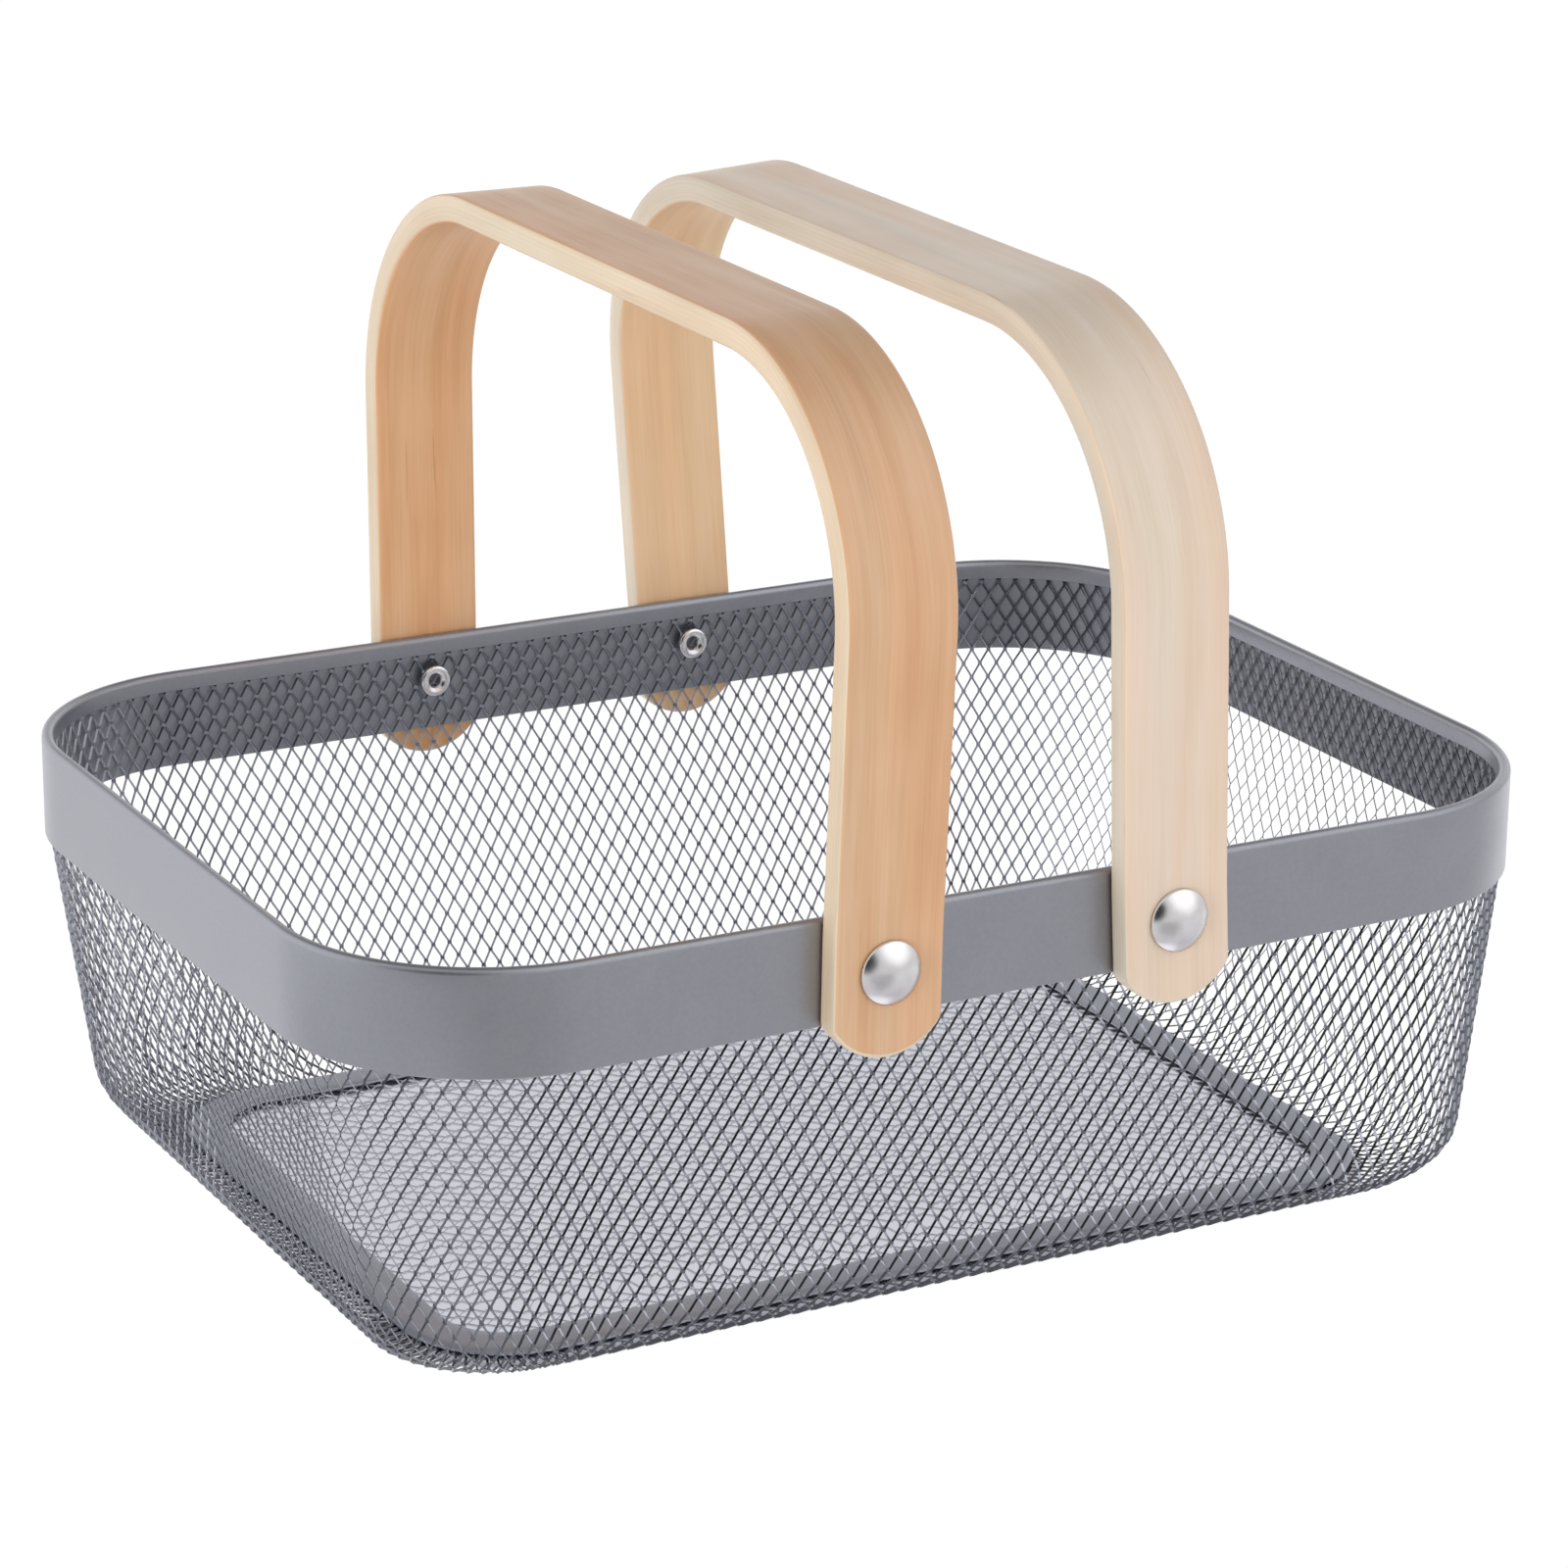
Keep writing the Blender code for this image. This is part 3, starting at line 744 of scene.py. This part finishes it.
def handle_section():
    """Points (across, depth below the outer face) round the strip's section, from its left outer corner."""
    half = HANDLE_WIDTH / 2
    r = EDGE_RADIUS
    points = []
    for step in range(ACROSS_STEPS + 1):
        points.append((-half + r + (2 * half - 2 * r) * step / ACROSS_STEPS, 0.0))
    for step in range(1, ROUND_STEPS + 1):
        angle = math.pi / 2 * (1 - step / ROUND_STEPS)
        points.append((half - r + r * math.cos(angle), r - r * math.sin(angle)))
    for step in range(1, SIDE_STEPS + 1):
        points.append((half, r + (HANDLE_THICKNESS - 2 * r) * step / SIDE_STEPS))
    for step in range(1, ROUND_STEPS + 1):
        angle = -math.pi / 2 * step / ROUND_STEPS
        points.append((half - r + r * math.cos(angle), HANDLE_THICKNESS - r - r * math.sin(angle)))
    for step in range(1, ACROSS_STEPS + 1):
        points.append((half - r - (2 * half - 2 * r) * step / ACROSS_STEPS, HANDLE_THICKNESS))
    for step in range(1, ROUND_STEPS + 1):
        angle = -math.pi / 2 - math.pi / 2 * step / ROUND_STEPS
        points.append((-half + r + r * math.cos(angle), HANDLE_THICKNESS - r - r * math.sin(angle)))
    for step in range(1, SIDE_STEPS + 1):
        points.append((-half, HANDLE_THICKNESS - r - (HANDLE_THICKNESS - 2 * r) * step / SIDE_STEPS))
    for step in range(1, ROUND_STEPS):
        angle = math.pi - math.pi / 2 * step / ROUND_STEPS
        points.append((-half + r + r * math.cos(angle), r - r * math.sin(angle)))
    return points


def eased(x, depth, amount):
    """A point of the strip's section when the section is pulled in all round by amount."""
    half = HANDLE_WIDTH / 2
    mid = HANDLE_THICKNESS / 2
    return x * (half - amount) / half, mid + (depth - mid) * (mid - amount) / mid


def foot_marks(section):
    """Rings of (across, depth, height) from a foot's rounded end up to where the strip runs straight."""
    rings = []
    for step in range(FOOT_ROUND_RINGS):
        angle = math.pi / 2 * step / (FOOT_ROUND_RINGS - 1)
        amount = EDGE_RADIUS * (1 - math.sin(angle))
        lift = EDGE_RADIUS * (1 - math.cos(angle))
        ring = [eased(x, depth, amount) for x, depth in section]
        rings.append([(x, depth, foot_end(x) + lift) for x, depth in ring])
    for share in (0.12, 0.3, 0.5, 0.75):
        rings.append([(x, depth, (foot_end(x) + EDGE_RADIUS) * (1 - share)) for x, depth in section])
    return rings


def foot_ring(marks, side):
    return [(x, side * (FOOT_FACE + HANDLE_THICKNESS - depth), z) for x, depth, z in marks]


def handle_mesh(name, offset):
    """The bent strip from foot to foot, with its grain map. Materials: 0 outer face, 1 edges, 2 inner face."""
    section = handle_section()
    count = len(section)
    rings = [foot_ring(mark, -1) for mark in foot_marks(section)]
    marks = foot_marks(section)
    travelled = 0.0
    before = None
    for y, z, ny, nz in handle_path():
        if before is not None:
            travelled += math.hypot(y - before[0], z - before[1])
        before = (y, z)
        rings.append([(x, y - ny * depth, z - nz * depth) for x, depth in section])
        marks.append([(x, depth, travelled) for x, depth in section])
    for mark in reversed(foot_marks(section)):
        rings.append(foot_ring(mark, 1))
        marks.append([(x, depth, travelled - z) for x, depth, z in mark])

    work = bmesh.new()
    verts = [work.verts.new(point) for ring in rings for point in ring]
    uv = work.loops.layers.uv.new("grain")
    half = HANDLE_WIDTH / 2

    def grain_of(ring, index, edge):
        x, depth, along = marks[ring][index]
        if edge:
            return (depth + 0.0004, along + offset)
        return (x + offset * 3 + (0.2 if depth > HANDLE_THICKNESS / 2 else 0.0), along + offset)

    for ring in range(len(rings) - 1):
        for index in range(count):
            after = (index + 1) % count
            corners = ((ring, index), (ring + 1, index), (ring + 1, after), (ring, after))
            face = work.faces.new([verts[row * count + place] for row, place in corners])
            middle = (abs(section[index][0]) + abs(section[after][0])) / 2
            edge = middle > half - EDGE_RADIUS * 0.45
            edge = edge or ring < FOOT_ROUND_RINGS - 1 or ring > len(rings) - FOOT_ROUND_RINGS - 1
            inside = min(section[index][1], section[after][1]) > HANDLE_THICKNESS / 2
            face.material_index = 1 if edge else 2 if inside else 0
            for loop, (row, place) in zip(face.loops, corners):
                loop[uv].uv = grain_of(row, place, edge)
    for ring in (0, len(rings) - 1):
        # the flat end of the foot, closed by strips from one face to the other
        base = ring * count
        outer = [base + i for i in range(ACROSS_STEPS + 1)]
        inner_start = ACROSS_STEPS + 2 * ROUND_STEPS + SIDE_STEPS
        inner = [base + inner_start + i for i in range(ACROSS_STEPS + 1)][::-1]
        loops = [(outer[i], outer[i + 1], inner[i + 1], inner[i]) for i in range(ACROSS_STEPS)]
        loops.append([base + i for i in range(ACROSS_STEPS, inner_start + 1)])
        loops.append([base + i for i in range(inner_start + ACROSS_STEPS, count)] + [base])
        for ids in loops:
            face = work.faces.new([verts[i] for i in ids])
            face.material_index = 1
            for loop in face.loops:
                loop[uv].uv = (loop.vert.co.y, loop.vert.co.x)
    bmesh.ops.recalc_face_normals(work, faces=work.faces)
    mesh = bpy.data.meshes.new(name)
    work.to_mesh(mesh)
    work.free()
    return mesh


def drilled(mesh, name, coats):
    """The strip with its two pivot holes."""
    for coat in coats:
        mesh.materials.append(coat)
    holder = bpy.data.objects.new(name + "_blank", mesh)
    scene.collection.objects.link(holder)
    drill_mesh = bpy.data.meshes.new(name + "_drill")
    work = bmesh.new()
    bmesh.ops.create_cone(
        work, cap_ends=True, segments=32, radius1=HOLE_RADIUS, radius2=HOLE_RADIUS, depth=RIM_WIDTH * 1.4
    )
    work.to_mesh(drill_mesh)
    work.free()
    drill = bpy.data.objects.new(name + "_drill", drill_mesh)
    scene.collection.objects.link(drill)
    drill.rotation_euler = (math.pi / 2, 0.0, 0.0)
    cut = holder.modifiers.new("drill", "BOOLEAN")
    cut.solver = "EXACT"
    cut.operation = "DIFFERENCE"
    cut.object = drill
    bpy.context.view_layer.update()
    graph = bpy.context.evaluated_depsgraph_get()
    result = bpy.data.meshes.new_from_object(holder.evaluated_get(graph), depsgraph=graph)
    result.name = name
    bpy.data.objects.remove(holder, do_unlink=True)
    bpy.data.objects.remove(drill, do_unlink=True)
    result.shade_smooth()
    result.set_sharp_from_angle(angle=math.radians(32))
    return result


for side, lean, label, coats, slot, offset in (
    (-1, LEFT_LEAN, "left", (warm_face, warm_edge, warm_inner), "warm_wood", 0.37),
    (1, RIGHT_LEAN, "right", (pale_face, pale_edge, pale_inner), "pale_wood", 1.91),
):
    name = "handle_" + label + "_strip"
    mesh = drilled(handle_mesh(name, offset), name, coats)
    # leaned about the pivot, then set on it
    turn = np.array([[math.cos(lean), 0, math.sin(lean)], [0, 1, 0], [-math.sin(lean), 0, math.cos(lean)]])
    co = np.empty(len(mesh.vertices) * 3, np.float32)
    mesh.vertices.foreach_get("co", co)
    co = co.reshape(-1, 3) @ turn.T + np.array([side * PIVOT_X, 0.0, PIVOT_Z])
    mesh.vertices.foreach_set("co", co.astype(np.float32).ravel())
    mesh.update()
    add_piece(name, mesh, None, label + "_handle", ["handle_" + label])


# ---------------------------------------------------------------- rivets
def rivet_profile():
    """(radius, height) from the dome's top to the bottom of the tail's bore, measured out from the band."""
    seat = 0.0005 + HANDLE_THICKNESS + 0.0003
    rise = HEAD_HEIGHT - HEAD_RIM
    dome = (HEAD_RADIUS ** 2 + rise ** 2) / (2 * rise)
    limit = math.asin(HEAD_RADIUS / dome)
    points = []
    for step in range(19):
        angle = limit * step / 18
        points.append((dome * math.sin(angle), seat + HEAD_HEIGHT - dome + dome * math.cos(angle)))
    for step in range(1, 5):
        angle = math.radians(20 - 27 * step)
        radius = HEAD_RADIUS - 0.0003 + 0.0003 * math.cos(angle)
        points.append((radius, seat + HEAD_RIM * 0.55 + HEAD_RIM * 0.55 * math.sin(angle)))
    points.append((HEAD_RADIUS - 0.0009, seat))
    points.append((SHANK_RADIUS, seat))
    tail = TAIL_START
    roll = TAIL_ROLL
    ring = TAIL_RADIUS - roll
    points.append((SHANK_RADIUS, tail))
    points.append((ring, tail))
    for step in range(1, 13):
        angle = math.pi / 2 - math.pi * step / 12
        points.append((ring + roll * math.cos(angle), tail - roll + roll * math.sin(angle)))
    points.append((ring - 0.0006, tail - 2 * roll + 0.0001))
    points.append((0.0024, tail - 1.5 * roll))
    points.append((0.0019, tail - 0.9 * roll))
    points.append((BORE_RADIUS, tail - 0.2 * roll))
    points.append((BORE_RADIUS, tail + 0.0035))
    points.append((0.0009, tail + 0.0041))
    points.append((0.0, tail + 0.0043))
    return points


def rivet_mesh(name, side_x, side_y):
    profile = rivet_profile()
    points = []
    faces = []
    index = {}
    for row, (radius, height) in enumerate(profile):
        for step in range(RIVET_SIDES if radius > 0 else 1):
            angle = math.tau * step / RIVET_SIDES
            index[(row, step)] = len(points)
            x = side_x * PIVOT_X + radius * math.cos(angle)
            points.append((x, side_y * (HALF_WIDTH + height), PIVOT_Z + radius * math.sin(angle)))
    for row in range(len(profile) - 1):
        for step in range(RIVET_SIDES):
            after = (step + 1) % RIVET_SIDES
            top = profile[row][0] > 0
            low = profile[row + 1][0] > 0
            ids = [index[(row, step if top else 0)]]
            if top:
                ids.append(index[(row, after)])
            ids.append(index[(row + 1, after if low else 0)])
            if low:
                ids.append(index[(row + 1, step)])
            faces.append(ids)
    return outward(to_mesh(name, points, faces), 50)


for side_x, label_x in ((-1, "left"), (1, "right")):
    for side_y, label_y in ((-1, "front"), (1, "back")):
        name = "rivet_" + label_y + "_" + label_x
        mesh = rivet_mesh(name + "_turned", side_x, side_y)
        add_piece(name + "_turned", mesh, polished, "basket", [name])


# ---------------------------------------------------------------- floor, light and camera
def studio_sweep():
    """A white floor and dome that only the camera sees. The floor's glow holds a painted shadow under the
    basket.
    """
    work = bmesh.new()
    bmesh.ops.create_circle(work, cap_ends=True, segments=64, radius=9.0)
    bmesh.ops.create_uvsphere(work, u_segments=48, v_segments=24, radius=8.9)
    mesh = bpy.data.meshes.new("studio_sweep")
    work.to_mesh(mesh)
    work.free()
    sweep = bpy.data.objects.new("studio_sweep", mesh)
    scene.collection.objects.link(sweep)
    sweep.location.z = -0.0003
    material, tree, shader = new_material("studio_white")
    shader.inputs["Base Color"].default_value = (0.0, 0.0, 0.0, 1.0)
    shader.inputs["Specular IOR Level"].default_value = 0.0
    where = tree.nodes.new("ShaderNodeTexCoord").outputs["Object"]
    flat = vector_math(tree, "MULTIPLY", where, (1.0, 1.0, 0.0))
    size = vector_math(tree, "ABSOLUTE", flat)
    core = (STRIP_X - FLOOR_CORNER_RADIUS, STRIP_Y - FLOOR_CORNER_RADIUS, 0.0)
    beyond = vector_math(tree, "SUBTRACT", size, core)
    outer = vector_math(tree, "MAXIMUM", beyond, (0.0, 0.0, 0.0))
    reach = tree.nodes.new("ShaderNodeVectorMath")
    reach.operation = "LENGTH"
    tree.links.new(outer, reach.inputs[0])
    share = spread(tree, reach.outputs["Value"], 0.0, 1.0, 0.0, 0.040)
    # painted shadow: grey under the floor panel, darkest round the base strip's outer edge, then white
    shade = [(0.0, PAINTED_SHADOW_UNDER_FLOOR), (0.45, PAINTED_SHADOW_UNDER_FLOOR), (0.74, PAINTED_SHADOW_UNDER_EDGE), (0.775, PAINTED_SHADOW_UNDER_EDGE), (0.84, CLEAR)]
    tree.links.new(ramp(tree, share, shade), shader.inputs["Emission Color"])
    shader.inputs["Emission Strength"].default_value = 1.02
    mesh.materials.append(material)
    sweep.visible_diffuse = False
    sweep.visible_glossy = False
    sweep.visible_transmission = False
    sweep.visible_shadow = False


def studio_world():
    """A white table below and a room above: pale, with a soft box at the right front and two dark parts."""
    world = bpy.data.worlds.new("studio")
    scene.world = world
    world.use_nodes = True
    tree = world.node_tree
    where = tree.nodes.new("ShaderNodeTexCoord").outputs["Generated"]

    def toward(direction, low, high):
        one = tree.nodes.new("ShaderNodeVectorMath")
        one.operation = "DOT_PRODUCT"
        one.inputs[1].default_value = Vector(direction).normalized()
        tree.links.new(where, one.inputs[0])
        two = tree.nodes.new("ShaderNodeMapRange")
        two.interpolation_type = "SMOOTHSTEP"
        two.inputs["From Min"].default_value = low
        two.inputs["From Max"].default_value = high
        tree.links.new(one.outputs["Value"], two.inputs["Value"])
        return two.outputs["Result"]

    def mixed(factor, first, second):
        made = tree.nodes.new("ShaderNodeMix")
        made.data_type = "FLOAT"
        for socket, value in ((0, factor), (2, first), (3, second)):
            if isinstance(value, (int, float)):
                made.inputs[socket].default_value = value
            else:
                tree.links.new(value, made.inputs[socket])
        return made.outputs[0]

    table = 0.80
    for direction, low, high, level in (
        ((0.35, 1.0, 0.0), 0.1, 0.95, 1.28),
        ((0.756, 0.60, -0.32), 0.80, 1.0, 1.45),
        ((-0.14, -0.93, -0.36), 0.80, 1.0, 0.50),
        ((0.0, 0.0, -1.0), 0.89, 0.96, 1.45),
    ):
        table = mixed(toward(direction, low, high), table, level)
    room = 0.70
    for direction, low, high, level in (
        ((-0.15, 1.0, 0.0), -0.3, 0.6, 1.25),
        ((0.50, -0.60, 0.62), 0.70, 0.96, SOFT_BOX),
        ((-0.715, -0.645, 0.30), 0.84, 0.95, 0.012),
        ((0.1, 0.45, 0.89), 0.72, 0.90, CEILING),
    ):
        room = mixed(toward(direction, low, high), room, level)
    strength = mixed(toward((0.0, 0.0, 1.0), -0.22, -0.17), table, room)
    tree.links.new(strength, tree.nodes["Background"].inputs["Strength"])
    tree.nodes["Background"].inputs["Color"].default_value = (1.0, 0.995, 0.99, 1.0)


def area_light(name, where, target, size, power):
    """A soft light that shows in no reflection."""
    data = bpy.data.lights.new(name, "AREA")
    data.shape = "RECTANGLE"
    data.size, data.size_y = size
    data.energy = power
    light = bpy.data.objects.new(name, data)
    scene.collection.objects.link(light)
    light.location = where
    light.rotation_euler = (Vector(target) - Vector(where)).to_track_quat("-Z", "Y").to_euler()
    light.visible_glossy = False


studio_sweep()
studio_world()
area_light("key_left", (-1.5, -0.5, 0.30), (0.0, 0.0, 0.15), (1.0, 0.6), 13)
area_light("fill_front", (-0.1, -1.8, 0.25), (0.0, 0.0, 0.15), (1.2, 0.5), 10)

camera_data = bpy.data.cameras.new("camera")
camera_data.sensor_width = 36.0
camera_data.lens = 117.8
camera_data.clip_end = 20.0
camera = bpy.data.objects.new("camera", camera_data)
scene.collection.objects.link(camera)
camera.location = (-0.63665, -1.17897, 0.55691)
camera.rotation_euler = (1.2475, -0.0105, -0.4941)
scene.camera = camera
